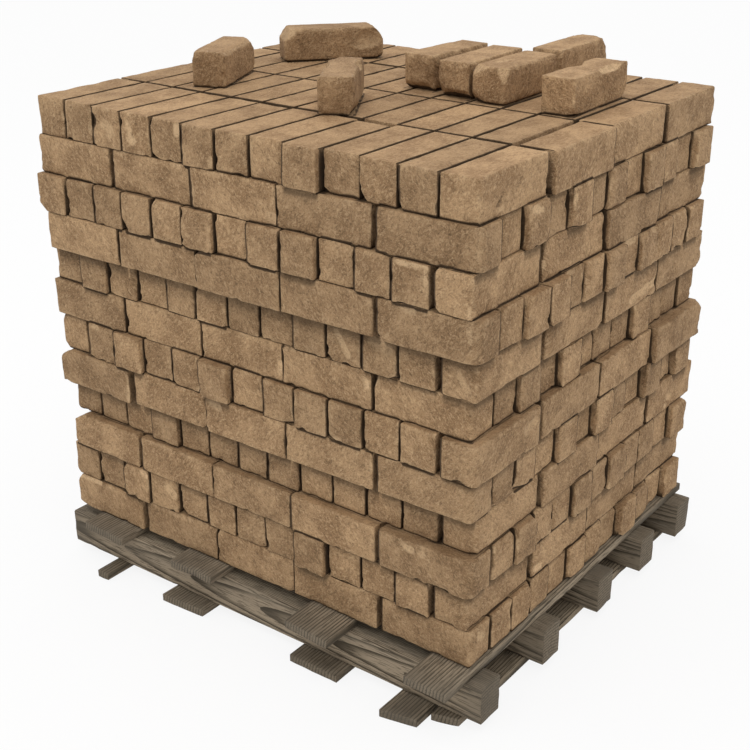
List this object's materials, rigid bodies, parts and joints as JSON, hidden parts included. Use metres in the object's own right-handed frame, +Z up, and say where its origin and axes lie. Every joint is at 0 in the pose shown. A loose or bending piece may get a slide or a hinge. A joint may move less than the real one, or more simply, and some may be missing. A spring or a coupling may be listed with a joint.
{
  "type": "pallet of bricks",
  "caption": "Timber stringer pallet carrying a square stack of hand-moulded bricks in crosswise courses, with a few loose bricks lying on top.",
  "frame": {"origin": "on the floor, under the middle of the pallet", "axes": "+X along the stringers to the right, -Y to the front, +Z up"},
  "size_m": [1.2, 1.1382, 1.2177],
  "materials": {
    "brick": "rough hand-moulded clay with worn arrises",
    "stringer": "weathered grey-brown sawn timber",
    "deck_board": "weathered grey-brown sawn timber",
    "base_board": "weathered grey-brown sawn timber"
  },
  "bodies": {
    "root": {"course_01": "brick", "course_02": "brick", "course_03": "brick", "course_04": "brick", "course_05": "brick", "course_06": "brick", "course_07": "brick", "course_08": "brick", "course_09": "brick", "course_10": "brick", "course_11": "brick", "course_12": "brick", "hidden_bricks": "brick", "loose_brick_1": "brick", "loose_brick_2": "brick", "loose_brick_3": "brick", "loose_brick_4": "brick", "loose_brick_5": "brick", "loose_brick_6": "brick", "loose_brick_7": "brick", "loose_brick_8": "brick", "stringer_1": "stringer", "stringer_2": "stringer", "stringer_3": "stringer", "stringer_4": "stringer", "stringer_5": "stringer", "deck_board_1": "deck_board", "deck_board_2": "deck_board", "deck_board_3": "deck_board", "deck_board_4": "deck_board", "base_board_1": "base_board", "base_board_2": "base_board", "base_board_3": "base_board", "base_board_4": "base_board", "base_board_5": "base_board"}
  },
  "joints": []
}
